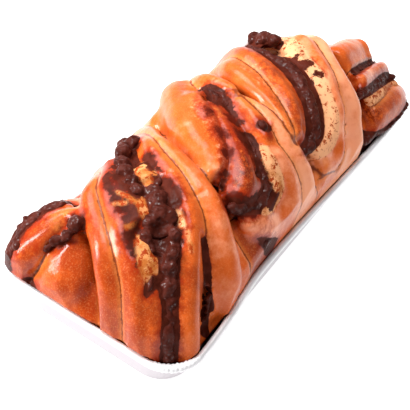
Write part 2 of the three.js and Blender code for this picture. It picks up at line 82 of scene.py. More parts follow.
# ---------------------------------------------------------------- the dough and the filling
# Each strand is a run of stations along its middle line: x, y, z and radius.
CRUST_STRANDS = {
    "fold_tip": [
        (-95, 40, 46, 2.5), (-98, 33, 54, 2.5),
    ],
    "near_lobe": [
        (-127, 39, 34, 6), (-123, 37, 40, 8.5), (-117, 34, 44, 10.5), (-111, 31, 47, 11),
        (-106, 27, 51, 10), (-103, 22, 56, 8), (-106, 16, 60, 5),
    ],
    "near_lobe_foot": [
        (-127, 41, 36, 3.5), (-127, 37, 31, 4), (-127, 35, 24, 4), (-126, 35, 14, 4),
    ],
    "dome": [
        (-100, 24, 54, 8), (-106, 22, 47, 13.5), (-110, 18, 40, 17.5), (-112, 16, 34, 19.3),
        (-111, 15, 26, 20),
    ],
    "dome_side": [
        (-121, 33, 26, 4), (-124, 27, 26, 6), (-124, 20, 26, 6), (-123, 11, 26, 7), (-123, 1, 27, 7),
        (-123, -6, 26, 7),
    ],
    "light_rib": [
        (-62, 45, 20, 6), (-66, 41, 36, 6), (-74, 34, 50, 6), (-82, 28, 60, 5), (-93, 25, 63, 5),
        (-102, 16, 63, 6), (-112, 4, 62, 5.5), (-119, -4, 57, 5.5), (-123, -10, 49, 6),
        (-124, -14, 38, 6.5), (-124, -17, 20, 6.5),
    ],
    "glossy_rib": [
        (-53, 46, 22, 6), (-57, 42, 38, 6), (-66, 33, 53, 5.5), (-75, 27, 63, 4.5), (-86, 20, 66, 5.5),
        (-96, 10, 66, 6), (-103, 1, 65, 6.2), (-109, -7, 62, 6), (-114, -15, 59, 5.5),
        (-119, -21, 54, 5), (-122, -25, 47, 5.5), (-124, -30, 36, 6.5), (-124, -32, 20, 6.5),
    ],
    "flank_rib": [
        (-68, 31, 61, 5), (-84, 14, 67, 6), (-91, 3, 67, 6), (-97, -5, 67, 5),
    ],
    "inner_rib": [
        (-115, -26, 52, 5), (-119, -30, 46, 5.5), (-122, -35, 36, 6), (-123, -37, 18, 6),
    ],
    "smooth_rib": [
        (-30, 47, 20, 6), (-32, 43, 36, 6.5), (-37, 36, 49, 6.5), (-45, 28, 61, 5.5),
        (-53, 20, 70, 4.5), (-60, 11, 72, 5.5), (-66, -1, 72, 6), (-73, -11, 71, 6), (-79, -20, 68, 6),
        (-87, -27, 64, 5.5), (-94, -32, 59, 5.5), (-101, -37, 52, 6), (-108, -42, 42, 6.5),
        (-113, -46, 30, 6.5), (-114, -47, 16, 6),
    ],
    "outer_rib1": [
        (-20, 46, 22, 7), (-24, 42, 40, 7), (-36, 31, 58, 6), (-48, 19, 71, 3.5), (-53, 10, 73, 5),
        (-58, -2, 73, 6), (-62, -14, 70, 7), (-66, -24, 66, 7.5), (-71, -32, 59, 8), (-75, -39, 49, 9),
        (-79, -43, 39, 9), (-83, -45, 25, 8),
    ],
    "hollow": [
        (-53, -38, 49, 6), (-48, -41, 36, 7), (-46, -43, 22, 7),
    ],
    "left_rib2a": [
        (12, 45, 18, 7), (10, 43, 37, 9), (6, 37, 55, 9), (-1, 37, 57, 10.5), (-24, 17, 66, 11),
        (-36, 3, 70, 10), (-45, -9, 71, 8), (-53, -18, 73, 4.5),
    ],
    "left_rib2b": [
        (-8, 23, 70, 6), (-20, 10, 73, 7), (-29, 0, 73, 7), (-38, -9, 73, 6), (-48, -16, 74, 4),
    ],
    "top_rib2": [
        (26, 44, 18, 7), (23, 40, 37, 8), (17, 35, 54, 8), (10, 28, 67, 6), (7, 20, 73, 4.5),
        (4, 11, 76, 4), (0, 3, 78, 3),
    ],
    "stained_rib": [
        (-12, 13, 75, 3.5), (-19, 3, 75, 4.5), (-25, -7, 74, 5.5), (-31, -15, 72, 6.5),
        (-37, -22, 69, 7.8), (-43, -27, 66, 8.8), (-51, -29, 65, 8), (-57, -29, 66, 5.5),
    ],
    "curl_heart": [
        (-42, -30, 66, 4.5), (-45, -31, 65, 4.5),
    ],
    "inner_rib2a": [
        (0, 7, 77, 4), (0, 3, 76, 4.5), (-5, -6, 76, 5), (-10, -16, 74, 5), (-14, -23, 72, 4.5),
    ],
    "inner_rib2b": [
        (-16, -29, 69, 4), (-16, -35, 63, 5), (-16, -40, 56, 5.5), (-18, -44, 48, 6), (-22, -45, 42, 7),
        (-33, -44, 42, 7.5), (-48, -42, 52, 6), (-58, -39, 60, 3.5),
    ],
    "inner_foot2": [
        (-24, -46, 36, 7), (-34, -46, 24, 7), (-40, -46, 16, 7),
    ],
    "outer_rib2": [
        (1, 1, 78, 2.5), (-1, -7, 77, 4), (-1, -15, 74, 5.5), (-3, -23, 71, 6), (-4, -30, 67, 6),
        (-4, -37, 60, 6.5), (-3, -42, 52, 6.5), (-4, -46, 42, 6.5), (-9, -47, 30, 6.5),
        (-14, -47, 18, 6),
    ],
    "left_rib3": [
        (38, 44, 18, 8), (36, 39, 35, 8), (33, 32, 51, 8.5), (28, 24, 66, 7.5), (22, 17, 71, 8),
        (16, 6, 74, 7.5), (11, -4, 76, 5.5), (8, -11, 76, 4.5), (5, -18, 75, 3.5), (1, -26, 73, 3),
        (-2, -33, 69, 2.5),
    ],
    "stained_rib3": [
        (54, 45, 20, 7), (52, 40, 37, 8), (49, 33, 53, 8.5), (43, 26, 66, 7.5), (35, 16, 73, 7),
        (29, 4, 75, 6.5), (24, -6, 75, 6.5), (19, -15, 74, 6), (14, -22, 72, 5.5), (8, -28, 70, 4.5),
        (3, -33, 69, 3),
    ],
    "edge_rib3": [
        (92, 42, 20, 6), (90, 36, 38, 6), (85, 26, 52, 5), (79, 16, 63, 4), (74, 9, 70, 3.5),
        (71, 3, 75, 4), (66, -5, 75, 4), (57, -15, 76, 4), (51, -24, 74, 3.5), (45, -32, 70, 3),
        (42, -38, 64, 3.5), (36, -42, 57, 4), (32, -46, 49, 4.5), (25, -46, 45, 5.5), (13, -45, 48, 6),
    ],
    "outer_rib3": [
        (104, 40, 18, 7), (102, 34, 32, 7), (95, 24, 46, 6), (89, 12, 58, 5), (83, 2, 68, 4.5),
        (77, -7, 72, 4.5), (68, -17, 72, 4.5), (61, -26, 70, 5), (59, -32, 66, 5.5), (58, -39, 58, 6),
        (55, -43, 51, 6), (54, -46, 41, 6.5), (50, -47, 31, 7), (38, -47, 26, 7), (20, -47, 30, 6.5),
    ],
    "foot3": [
        (12, -44, 46, 6), (20, -46, 36, 7), (24, -46, 20, 7),
    ],
    "far_lobe": [
        (82, -15, 63, 9), (98, -14, 57, 10), (112, -14, 51, 10.5), (119, -17, 51, 8.5),
    ],
    "far_rib": [
        (78, -33, 60, 5.5), (101, -31, 51, 6), (120, -32, 45, 5), (123, -36, 43, 3),
    ],
    "far_rib2": [
        (80, -45, 40, 8.5), (96, -45, 37, 9.5), (112, -44, 32, 10.5), (123, -43, 28, 8.5),
    ],
    "far_end_a": [
        (121, -22, 40, 8), (123, -20, 30, 8), (122, -20, 16, 8),
    ],
    "far_end_b": [
        (100, 0, 44, 11), (114, -2, 38, 11), (122, -4, 28, 8), (122, -4, 14, 8),
    ],
    "far_end_c": [
        (92, 18, 42, 11), (108, 16, 36, 11), (120, 14, 28, 9), (121, 14, 14, 9),
    ],
    "far_end_d": [
        (96, 34, 34, 10), (112, 32, 30, 10), (119, 32, 22, 9),
    ],
    "back_fold": [
        (-122, 46, 16, 6), (-116, 46, 30, 6), (-100, 43, 38, 6), (-84, 42, 34, 7), (-76, 45, 20, 7),
    ],
    "back_rib1": [
        (-50, 47, 22, 7), (-51, 44, 34, 6), (-58, 30, 46, 6),
    ],
    "back_rib2": [
        (-10, 45, 18, 8), (-13, 41, 36, 9), (-19, 33, 53, 9),
    ],
}

# Torn strips where the pale crumb shows.
CRUMB_STRANDS = {
    "torn_rib": [
        (-103, -11, 65, 3.5), (-106, -16, 61, 5.5), (-110, -20, 58, 5), (-115, -23, 56, 3.5),
    ],
    "crumb_patch1": [
        (-70, 12, 70, 5), (-74, 4, 72, 3.5),
    ],
    "crumb_patch2": [
        (-86, 1, 70, 3), (-91, -4, 69, 3),
    ],
    "pale_rib2": [
        (-20, -26, 71, 3), (-23, -31, 68, 3.2), (-25, -35, 64, 3.5), (-28, -39, 60, 3.5),
        (-35, -41, 58, 3), (-44, -41, 58, 3),
    ],
    "pale_rib3": [
        (80, 44, 20, 5), (79, 37, 36, 5), (76, 27, 52, 5), (72, 15, 64, 5), (66, 6, 69, 6.5),
        (53, -3, 76, 4.5), (49, -10, 76, 4), (48, -17, 74, 4.5), (44, -24, 72, 4.5), (40, -30, 67, 5),
        (35, -36, 63, 5), (29, -40, 59, 4.5), (20, -41, 57, 4.5), (9, -41, 58, 3.5),
    ],
    "far_pale": [
        (74, -43, 54, 2.5), (93, -43, 47, 3), (116, -42, 38, 3.5), (124, -43, 38, 3.2),
    ],
}

CHOCOLATE_STRANDS = {
    "outer_fold": [
        (-127, 44, 27, 4.6), (-127, 43, 38, 4.8), (-123, 43, 44, 5), (-116, 43, 48, 5.1),
        (-107, 42, 50, 5.1), (-100, 39, 50, 5.2), (-94, 37, 48, 4.6), (-88, 42, 34, 4.4),
    ],
    "near_seam": [
        (-122, 37, 29, 1.8), (-120, 35, 33, 2), (-120, 29, 46, 1.8), (-119, 24, 53, 2),
        (-116, 20, 58, 2.4),
    ],
    "near_drip": [
        (-126, 36, 32, 2), (-129, 32, 30, 2), (-130, 27, 29, 2),
    ],
    "near_chip": [
        (-111, 20, 62, 4.2), (-110, 18, 63, 4.2),
    ],
    "notch_chip": [
        (-113, -25, 60, 2), (-116, -26, 57, 2.6), (-118, -26, 55, 2),
    ],
    "crevice": [
        (-40, 47, 24, 5), (-44, 41, 40, 5), (-51, 33, 54, 5.5), (-70, 22, 64, 6), (-80, 10, 66, 6),
        (-83, 0, 66, 7), (-88, -11, 64, 7), (-94, -20, 61, 6),
    ],
    "filling_ribbon": [
        (-99, -24, 62, 5.5), (-105, -28, 57, 4.6), (-109, -31, 54, 5.4), (-113, -35, 48, 4.4),
        (-118, -39, 41, 5), (-121, -42, 33, 4), (-121, -43, 24, 4.6),
    ],
    "streak": [
        (-83, -32, 64, 0.4), (-87, -37, 58, 0.6), (-91, -42, 51, 0.7), (-96, -46, 42, 0.6),
        (-101, -49, 31, 0.3),
    ],
    "seam2": [
        (-7, 23, 72, 1.4), (-15, 16, 74, 1.5), (-24, 6, 76, 1.4), (-29, -3, 76, 1.4),
        (-34, -9, 75, 1.4), (-41, -15, 74, 1.5), (-50, -20, 73, 1.6), (-56, -22, 71, 1.8),
    ],
    "filling2": [
        (-20, -17, 73, 2), (-24, -23, 70.5, 2.8), (-28, -27, 68, 3.4), (-31, -32, 65, 4.2),
        (-35, -37, 61, 5), (-43, -37, 60, 5.5), (-52, -35, 62, 5), (-59, -32, 66, 4),
    ],
    "filling2_top": [
        (-1, 23, 73, 2.6), (-1, 17, 74, 3.4), (-3, 10, 75, 4), (-7, 5, 76, 2.4),
    ],
    "chip2": [
        (-11, -18, 78, 3.2), (-11, -20, 77, 3.2),
    ],
    "under_lump": [
        (-50, -43, 49, 2.6), (-46, -45, 43, 4), (-42, -47, 37, 5), (-38, -48, 33, 4),
    ],
    "filling3_top": [
        (63, 29, 62, 3.5), (62, 27, 69, 4.5), (60, 20, 72, 5), (60, 15, 75, 4.5),
    ],
    "filling3": [
        (46, 24, 73, 3), (42, 13, 76, 4.5), (41, 4, 76, 5), (40, -5, 76, 5.5), (36, -13, 75, 5.5),
        (32, -20, 72, 6), (28, -26, 69, 6), (22, -31, 66, 6), (17, -35, 62, 6), (9, -37, 61, 5),
        (2, -39, 62, 3),
    ],
    "far_seam": [
        (74, -30, 66, 1.4), (93, -29, 59, 1.4), (120, -28, 49, 1.6),
    ],
    "far_filling": [
        (70, -39, 59, 3.5), (80, -39, 56, 3.2), (94, -38, 51, 3.6), (109, -37, 46, 4),
        (119, -37, 42, 3.6), (123, -40, 41, 3),
    ],
    "far_foot": [
        (66, -49, 33, 3.5), (82, -52, 32, 3), (94, -54, 31, 3), (106, -54, 31, 3), (116, -53, 31, 3),
        (122, -50, 30, 3),
    ],
}

# Lumps of chocolate: x, y, z and radius. Most are in the open cut of the first hump.
LUMPS = [
    (-50, 37, 59, 4), (-53, 30, 66, 4.4), (-58, 31, 65, 4), (-62, 29, 66, 4.4), (-70, 24, 68, 4),
    (-76, 18, 70, 4.4), (-80, 12, 70, 4.4), (-83, 6, 71, 4), (-79, 0, 72, 4), (-82, -5, 71, 5.2),
    (-87, -10, 70, 5), (-93, -9, 68, 4), (-99, -13, 66, 4.8), (-101, -18, 64, 4.2),
    (-86, -14, 69, 4.8), (-92, -20, 66, 4.8), (-96, -24, 63, 4.2), (-73, 1, 72, 2.6),
    (-100, -25, 64, 4.4), (-104, -28, 61, 4.2), (-108, -31, 56, 4), (-112, -35, 50, 3.6),
    (-111, 19, 63, 4), (-119, 25, 54, 2.4), (-120, 29, 48, 2.6), (-121, 33, 41, 2.4),
    (-43, -47, 38, 5), (62, 27, 68, 5), (61, 21, 72, 4.8), (60, 15, 75, 4), (64, 28, 63, 4.5),
    (57, 22, 73, 3.5),
]

# Plain dough under the layers.
DOUGH_STRANDS = {
    "middle": [
        (-104, 2, 26, 22), (-60, 2, 40, 27), (0, 4, 42, 28), (55, 2, 40, 28), (80, -6, 34, 22),
        (104, -10, 24, 16),
    ],
    "left_side": [
        (-104, 26, 20, 20), (-60, 20, 28, 26), (0, 20, 30, 26), (55, 20, 30, 26), (80, 18, 24, 20),
        (104, 18, 18, 18),
    ],
    "right_side": [
        (-100, -26, 22, 22), (-60, -24, 30, 26), (0, -24, 30, 27), (55, -24, 30, 26), (85, -24, 24, 22),
        (104, -26, 18, 20),
    ],
}

# Strands that rose together: the grooves between them are shallow, and those between humps deep.
HUMPS = [
    ("outer_fold", "fold_tip", "near_lobe", "near_lobe_foot", "back_fold"),
    ("dome", "dome_side", "near_seam", "near_drip", "near_chip"),
    ("light_rib", "glossy_rib", "flank_rib", "torn_rib", "inner_rib", "notch_chip", "crevice",
     "crumb_patch1", "crumb_patch2", "filling_ribbon", "smooth_rib", "streak", "outer_rib1",
     "back_rib1"),
    ("hollow", "left_rib2a", "left_rib2b", "top_rib2", "seam2", "stained_rib", "curl_heart",
     "filling2_top", "filling2", "pale_rib2", "inner_rib2a", "inner_rib2b", "inner_foot2",
     "outer_rib2", "chip2", "under_lump", "back_rib2"),
    ("left_rib3", "stained_rib3", "filling3_top", "filling3", "pale_rib3", "edge_rib3",
     "outer_rib3", "foot3"),
    ("far_lobe", "far_seam", "far_rib", "far_filling", "far_pale", "far_rib2", "far_foot",
     "far_end_a", "far_end_b", "far_end_c", "far_end_d"),
]

# Every second layer. A crease runs wherever one of these meets a layer that is not one of them.
SECOND_LAYERS = (
    "dome", "dome_side", "glossy_rib", "flank_rib", "torn_rib", "inner_rib", "outer_rib1",
    "crumb_patch1", "crumb_patch2", "stained_rib", "curl_heart", "top_rib2", "outer_rib2",
    "stained_rib3", "pale_rib3", "edge_rib3", "far_rib", "far_pale",
)

# How brown each strand is, from 0 for pale gold to 1 for deep brown. The others are MID_BAKE.
MID_BAKE = 0.45
BAKE = {
    "dome": 0.78, "dome_side": 0.8, "near_lobe": 1.0, "light_rib": 0.8, "glossy_rib": 0.85,
    "flank_rib": 1.2, "inner_rib": 0.75, "smooth_rib": 0.6, "outer_rib1": 0.45, "hollow": 0.9,
    "left_rib2a": 0.5, "left_rib2b": 0.34, "top_rib2": 0.4, "stained_rib": 1.2, "curl_heart": 0.7,
    "inner_rib2a": 0.6, "inner_rib2b": 0.32, "inner_foot2": 0.5, "outer_rib2": 0.15,
    "left_rib3": 0.52, "stained_rib3": 0.75, "edge_rib3": 0.3, "outer_rib3": 0.05, "foot3": 0.35,
    "far_lobe": 0.45, "far_rib": 0.4, "far_rib2": 0.75, "fold_tip": 0.8,
    "torn_rib": 1.0, "crumb_patch1": 0.9, "crumb_patch2": 1.0, "pale_rib2": 0.5, "pale_rib3": 0.1,
}

# Dark stains that the filling left on the crust: x, y, z, radius and strength.
STAINS = [
    (-94, 2, 72, 8, 0.7), (-104, -8, 69, 8, 0.6), (-84, 14, 73, 8, 0.7), (-76, -4, 76, 7, 0.5),
    (-86, -18, 72, 6, 0.5), (-66, 14, 76, 6, 0.4), (-108, -8, 67, 6, 0.4), (-79, -10, 70, 6, 1),
    (-21, 7, 79, 7, 0.7), (-20, -2, 79, 7, 0.8), (-28, -8, 78, 8, 0.9), (-29, -15, 78, 7, 0.9),
    (-36, -18, 76, 8, 0.9), (-44, -24, 74, 7, 0.5), (-35, -25, 75, 7, 0.9), (-57, -30, 71, 6, 0.9),
    (-53, -39, 65, 5, 0.7), (25, 7, 79, 7, 0.4), (19, -4, 78, 7, 0.4), (12, -17, 76, 7, 0.4),
    (4, -28, 73, 6, 0.4), (47, -3, 79, 4, 0.6), (31, -40, 65, 3, 0.5), (72, -43, 53, 5, 0.9),
    (78, -46, 47, 5, 0.9), (-108, 25, 63, 6, 0.7), (-110, 35, 52, 7, 0.6), (-123, 37, 43, 6, 0.4),
]

# Chocolate smeared thin over the crust: x, y, z and radius.
SMEARS = [
    (-56, 29, 67, 4.5), (-66, 27, 70, 4.5), (-73, 24, 71, 4.5), (-80, 18, 73, 5), (-70, 18, 71, 4.5),
    (-83, 11, 74, 5), (-86, 5, 74, 3.5), (-92, 11, 72, 3), (-94, 3, 72, 5), (-98, -2, 72, 4),
    (-100, -7, 70, 3), (-105, -7, 68, 3), (-108, -11, 67, 3), (-111, -13, 66, 2.4),
    (-112, -17, 64, 2.2), (-66, 14, 75, 4.5), (-69, 9, 76, 3), (-69, 5, 76, 1.8),
    (-75, 2, 75, 2.8), (-74, -4, 75, 3.2), (-77, -9, 75, 3.8), (-80, -13, 74, 3.2),
    (-85, -17, 73, 3), (-88, -21, 70, 3), (-94, -24, 67, 3.4), (-9, 10, 78, 4), (-33, -45, 60, 3),
    (-37, -46, 59, 2.5), (40, -20, 76, 2), (47, -9, 78, 2.2), (-38, -42, 63, 4.5), (-34, -44, 61, 3.5),
    (-5, 15, 77, 5), (-74, 1, 77, 2.5),
]

# The same, drawn out along a strand: runs of x, y, z and radius.
SMEAR_STROKES = [
    [(-76, 27, 71, 2), (-84, 23, 71, 1.8), (-90, 17, 72, 1.6), (-94, 11, 72, 2)],
    [(-9, 4, 77, 2.5), (-14, -5, 78, 2), (-19, -13, 77, 3), (-25, -21, 74, 2.5)],
    [(-15, 14, 75, 0.8), (-25, 5, 77, 0.6), (-36, -10, 76, 0.6)],
    [(-45, -36, 66, 2), (-53, -36, 66, 3.5), (-59, -31, 68, 3)],
    [(44, -5, 79, 1.6), (50, -4, 79, 1.6)], [(44, -11, 79, 2.4), (50, -12, 78, 2.6)],
    [(46, -19, 77, 2.6), (47, -21, 76, 2.4)], [(-32, -43, 60, 3), (-38, -44, 60, 4)],
]

# Strokes where the egg wash missed and pale crumb shows through: runs of x, y, z and radius.
CRUMB_STROKES = [
    [(-90, 12, 72, 1), (-90, -1, 73, 1.8)], [(-89, 1, 74, 2), (-95, -8, 72, 2)],
    [(-97, 9, 72, 1.2), (-93, 5, 72, 1.2)], [(-103, -3, 70, 1.4), (-98, -7, 71, 1.4)],
    [(-83, -17, 72, 1.8), (-86, -22, 70, 1.8)], [(-88, -26, 70, 1.2), (-93, -32, 66, 1.2)],
    [(-104, -11, 68, 1.8), (-110, -17, 65, 2.8), (-114, -23, 61, 2.4)],
    [(-74, 10, 74, 3), (-78, 2, 74, 2.2)], [(-23, -30, 72, 3), (-28, -40, 62, 3.4)],
]

# Hollows pressed into the surface: x, y, z, radius and depth.
HOLLOWS = [
    (-97, -17, 69, 4, 5), (-101, -21, 66, 4, 5), (-6, 15, 76, 6, 3), (-19, -13, 78, 2.5, 2.5),
    (-34, -31, 70, 2.5, 3.5), (-78, 6, 73, 3, 2),
]

# Short splits across a strand where the crust gave: both ends.
SPLITS = [
    ((-71, 0, 76), (-66, -4, 78)), ((-73, -17, 74), (-66, -20, 75)), ((-81, -13, 73), (-76, -20, 75)),
    ((-73, -26, 70), (-70, -30, 69)), ((-20, -27, 74), (-5, -37, 70)), ((-126, 8, 38), (-121, 2, 42)),
]

# How the dough is joined up.
RISE = 5               # the layers of a hump are filled between as far as this ball reaches
RISE_VOXEL = 1.2
RISE_SMOOTHING = 5
BREAD_VOXEL = 1.1
BREAD_SMOOTHING = 11
HIDDEN_HEIGHT = 21     # below this the tray hides the dough, and few triangles are enough
KEPT_TRIANGLES = 0.75
FILLING_SINK = 1.3     # how far the dough under the filling lies below the filling's own surface
LUMP_SINK = 0.8

# What is pressed into the dough: depths and widths.
CREASE_DEPTH = 0.9
CREASE_WIDTH = 1.3
GROOVED = ("streak", "near_seam", "seam2", "far_seam")   # thin fillings at the bottom of a groove
GROOVE_DEPTH = 1.3
GROOVE_WIDTH = 1.6
SPLIT_DEPTH = 0.5
SPLIT_WIDTH = 0.9
BROWNING_BLEND = 1.2   # one strand's browning runs into the next over about this distance

# The filling.
CHOCOLATE_VOXEL = 0.62
CHOCOLATE_SMOOTHING = 12
RIBBON_SINK = 1.2      # the ribbons are this much thinner, before their surface is roughened
LUMPY = ("outer_fold", "near_seam", "crevice")

WASH_FADE = 10         # the egg wash thins over this much above the rim


def smoothed(path, steps):
    """Stations on one smooth curve through the given ones, with the radius carried along."""
    given = np.array(path, float)
    if len(given) < 3:
        return given
    padded = np.vstack([2 * given[0] - given[1], given, 2 * given[-1] - given[-2]])
    stations = []
    for before, here, following, after in zip(padded, padded[1:], padded[2:], padded[3:]):
        for t in np.arange(steps) / steps:
            slope = (following - before) / 2
            bend = before - 2.5 * here + 2 * following - 0.5 * after
            twist = (3 * here - before - 3 * following + after) / 2
            stations.append(here + slope * t + bend * t * t + twist * t ** 3)
    stations.append(given[-1])
    return np.array(stations)


def rounded_ends(stations):
    """The stations with each end closed like a ball."""
    ends = []
    for end, inner in ((stations[0], stations[1]), (stations[-1], stations[-2])):
        way = end[:3] - inner[:3]
        way = way / np.linalg.norm(way)
        cap = []
        for degrees in (25, 50, 70, 84):
            turn = math.radians(degrees)
            middle = end[:3] + way * end[3] * math.sin(turn)
            cap.append([*middle, end[3] * math.cos(turn)])
        ends.append(cap)
    return np.array([*ends[0][::-1], *stations, *ends[1]])


def swept(name, paths, grow):
    """One mesh of round tubes along the paths, each grown by a few tenths."""
    curve = bpy.data.curves.new(name, "CURVE")
    curve.dimensions = "3D"
    curve.bevel_depth = MM
    curve.bevel_resolution = 5
    curve.use_fill_caps = True
    for path in paths:
        stations = rounded_ends(smoothed(path, 5))
        spline = curve.splines.new("POLY")
        spline.points.add(len(stations) - 1)
        for point, (x, y, z, radius) in zip(spline.points, stations):
            point.co = (x * MM, y * MM, z * MM, 1)
            point.radius = max(radius + grow, 0.05)
    sweep = bpy.data.objects.new(name, curve)
    bpy.context.collection.objects.link(sweep)
    bpy.context.view_layer.update()
    evaluated = sweep.evaluated_get(bpy.context.evaluated_depsgraph_get())
    mesh = bpy.data.meshes.new_from_object(evaluated)
    bpy.data.objects.remove(sweep)
    return mesh


def add_balls(shape, balls):
    """Balls of dough or chocolate joined to a bmesh."""
    for x, y, z, radius in balls:
        ball = bmesh.ops.create_icosphere(shape, subdivisions=3, radius=radius * MM)
        bmesh.ops.translate(shape, verts=ball["verts"], vec=Vector((x, y, z)) * MM)


def new_piece(name, mesh):
    piece = bpy.data.objects.new(name, mesh)
    bpy.context.collection.objects.link(piece)
    return piece


def applied(piece):
    """The piece with its modifiers made part of its mesh."""
    bpy.context.view_layer.update()
    evaluated = piece.evaluated_get(bpy.context.evaluated_depsgraph_get())
    mesh = bpy.data.meshes.new_from_object(evaluated)
    piece.modifiers.clear()
    piece.data = mesh
    return piece


def fused(name, shape, voxel, smoothing, shrink=0):
    """One skin round everything in a bmesh, smoothed, then shrunk by some millimetres."""
    mesh = bpy.data.meshes.new(name)
    shape.to_mesh(mesh)
    shape.free()
    piece = new_piece(name, mesh)
    remesh = piece.modifiers.new("fuse", "REMESH")
    remesh.mode = "VOXEL"
    remesh.voxel_size = voxel * MM
    remesh.use_smooth_shade = True
    soften = piece.modifiers.new("soften", "SMOOTH")
    soften.factor = 0.5
    soften.iterations = smoothing
    if shrink:
        inward = piece.modifiers.new("shrink", "DISPLACE")
        inward.strength = -shrink * MM
        inward.mid_level = 0
    return applied(piece)


def thinned(piece):
    """The piece with fewer triangles where the tray hides it."""
    low = [vert.index for vert in piece.data.vertices if vert.co.z < HIDDEN_HEIGHT * MM]
    hidden = piece.vertex_groups.new(name="inside_the_tray")
    hidden.add(low, 1, "REPLACE")
    thin = piece.modifiers.new("thin", "DECIMATE")
    thin.ratio = KEPT_TRIANGLES
    thin.vertex_group = hidden.name
    applied(piece)
    piece.vertex_groups.clear()
    return piece


def points_of(mesh):
    flat = np.empty(len(mesh.vertices) * 3)
    mesh.vertices.foreach_get("co", flat)
    return flat.reshape(-1, 3) / MM


def normals_of(mesh):
    flat = np.empty(len(mesh.vertices) * 3)
    mesh.vertices.foreach_get("normal", flat)
    return flat.reshape(-1, 3)


def move_points(mesh, points):
    mesh.vertices.foreach_set("co", (points * MM).ravel())
    mesh.update()


def distance_to(points, path, reach=14):
    """How far each point is outside a strand, in millimetres, up to reach."""
    stations = smoothed(path, 3)
    low = (stations[:, :3] - stations[:, 3:]).min(0) - reach
    high = (stations[:, :3] + stations[:, 3:]).max(0) + reach
    near = np.where(((points > low) & (points < high)).all(1))[0]
    found = np.full(len(points), float(reach))
    here = points[near]
    best = np.full(len(near), float(reach))
    for a, b in zip(stations, stations[1:]):
        run = b[:3] - a[:3]
        share = np.clip(((here - a[:3]) @ run) / max(run @ run, 1e-6), 0, 1)
        off = np.linalg.norm(here - (a[:3] + share[:, None] * run), axis=1)
        best = np.minimum(best, off - (a[3] + share * (b[3] - a[3])))
    found[near] = best
    return found


def side_pull(x, depth):
    reach = np.where(x < PULL_AT, PULL_NEAR, PULL_FAR)
    return depth * np.exp(-(((x - PULL_AT) / reach) ** 2))


def held_in_tray(points):
    """Points moved straight in from the foil, and up from the tray's floor, where they touch it."""
    x, y, z = points.T
    z = np.maximum(z, FLOOR_GAP)
    rise = np.clip(z / RIM_HEIGHT, 0, 1)
    lean = np.maximum((z - RIM_HEIGHT - GAP) * LEAN_OUT, 0)
    lean = np.minimum(lean, np.interp(x, LEAN_ALONG, MOST_LEAN))
    wall = WALL_FLARE * (1 - rise)
    clearance = 2 * BEAD_RADIUS + GAP - lean
    inset = wall + clearance
    corner = RIM_CORNER - wall * (RIM_CORNER - BASE_CORNER) / WALL_FLARE - clearance
    pulled = side_pull(x, SIDE_PULL * rise)
    along = np.abs(x) - (HALF_LENGTH - inset - corner)
    across = np.abs(y) + pulled - (HALF_WIDTH - inset - corner)
    out_x, out_y = np.maximum(along, 0), np.maximum(across, 0)
    far = np.hypot(out_x, out_y)
    scale = np.where(far > corner, corner / np.maximum(far, 1e-6), 1)
    x = x - np.sign(x) * out_x * (1 - scale)
    y = y - np.sign(y) * out_y * (1 - scale)
    return np.stack([x, y, z], 1)


def pressed_to_foil(points):
    """Dough near the rim spread out until it bears on the foil."""
    x, y, z = points.T
    spread = PRESS * np.exp(-((z - RIM_HEIGHT - 3) / PRESS_HEIGHT) ** 2)
    edge_x = np.clip(1 - (HALF_LENGTH - np.abs(x)) / PRESS_REACH, 0, 1)
    edge_y = np.clip(1 - (HALF_WIDTH - side_pull(x, SIDE_PULL) - np.abs(y)) / PRESS_REACH, 0, 1)
    return points + np.stack([np.sign(x) * spread * edge_x, np.sign(y) * spread * edge_y, 0 * z], 1)


def noise_at(points, size, seed):
    """Soft noise from -1 to 1 with features about this many millimetres across."""
    shift = Vector((seed * 17.3, seed * 5.1, seed * 11.7))
    return np.array([noise.noise(Vector(p) / size + shift) for p in points])


def inside_strokes(points, strokes):
    """How far each point is inside the nearest of some strokes, in millimetres."""
    return -np.min([distance_to(points, stroke) for stroke in strokes], axis=0)


def inside_spots(points, spots):
    """How far each point is inside the nearest of some round spots, in millimetres."""
    return np.max([spot[3] - np.linalg.norm(points - spot[:3], axis=1) for spot in spots], axis=0)


def press_hollows(points, normals, hollows):
    for x, y, z, radius, depth in hollows:
        off = np.linalg.norm(points - (x, y, z), axis=1) / radius
        points = points - normals * (depth * np.exp(-(off ** 2) * 1.5))[:, None]
    return points


def set_attribute(mesh, name, values):
    attribute = mesh.attributes.new(name, "FLOAT", "POINT")
    attribute.data.foreach_set("value", np.asarray(values, np.float32))


# ---------------------------------------------------------------- the loaf
SURFACE = {**CRUST_STRANDS, **CRUMB_STRANDS, **CHOCOLATE_STRANDS}


def lower_loaf(shape):
    """The part of the loaf that the tray moulded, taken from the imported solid."""
    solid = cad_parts["loaf"].data
    shape.from_mesh(solid)
    bmesh.ops.remove_doubles(shape, verts=shape.verts, dist=0.01 * MM)
    geometry = shape.verts[:] + shape.edges[:] + shape.faces[:]
    bmesh.ops.bisect_plane(shape, geom=geometry, dist=0.001 * MM, plane_no=(0, 0, 1),
                           plane_co=(0, 0, MOULDED_HEIGHT * MM), clear_outer=True)
    rim = [edge for edge in shape.edges if edge.is_boundary]
    bmesh.ops.edgeloop_fill(shape, edges=rim)


def add_hump(shape, names):
    """One hump joined to a bmesh. Its layers are grown, fused and shrunk back to fill between."""
    grown = bmesh.new()
    layers = [name for name in SURFACE if name in names]
    crust = [SURFACE[name] for name in layers if name not in CHOCOLATE_STRANDS]
    filling = [SURFACE[name] for name in layers if name in CHOCOLATE_STRANDS]
    for paths, grow in ((crust, RISE), (filling, RISE - FILLING_SINK)):
        tubes = swept("tubes", paths, grow)
        grown.from_mesh(tubes)
        bpy.data.meshes.remove(tubes)
    hump = fused("hump", grown, RISE_VOXEL, RISE_SMOOTHING, RISE)
    shape.from_mesh(hump.data)
    bpy.data.objects.remove(hump)


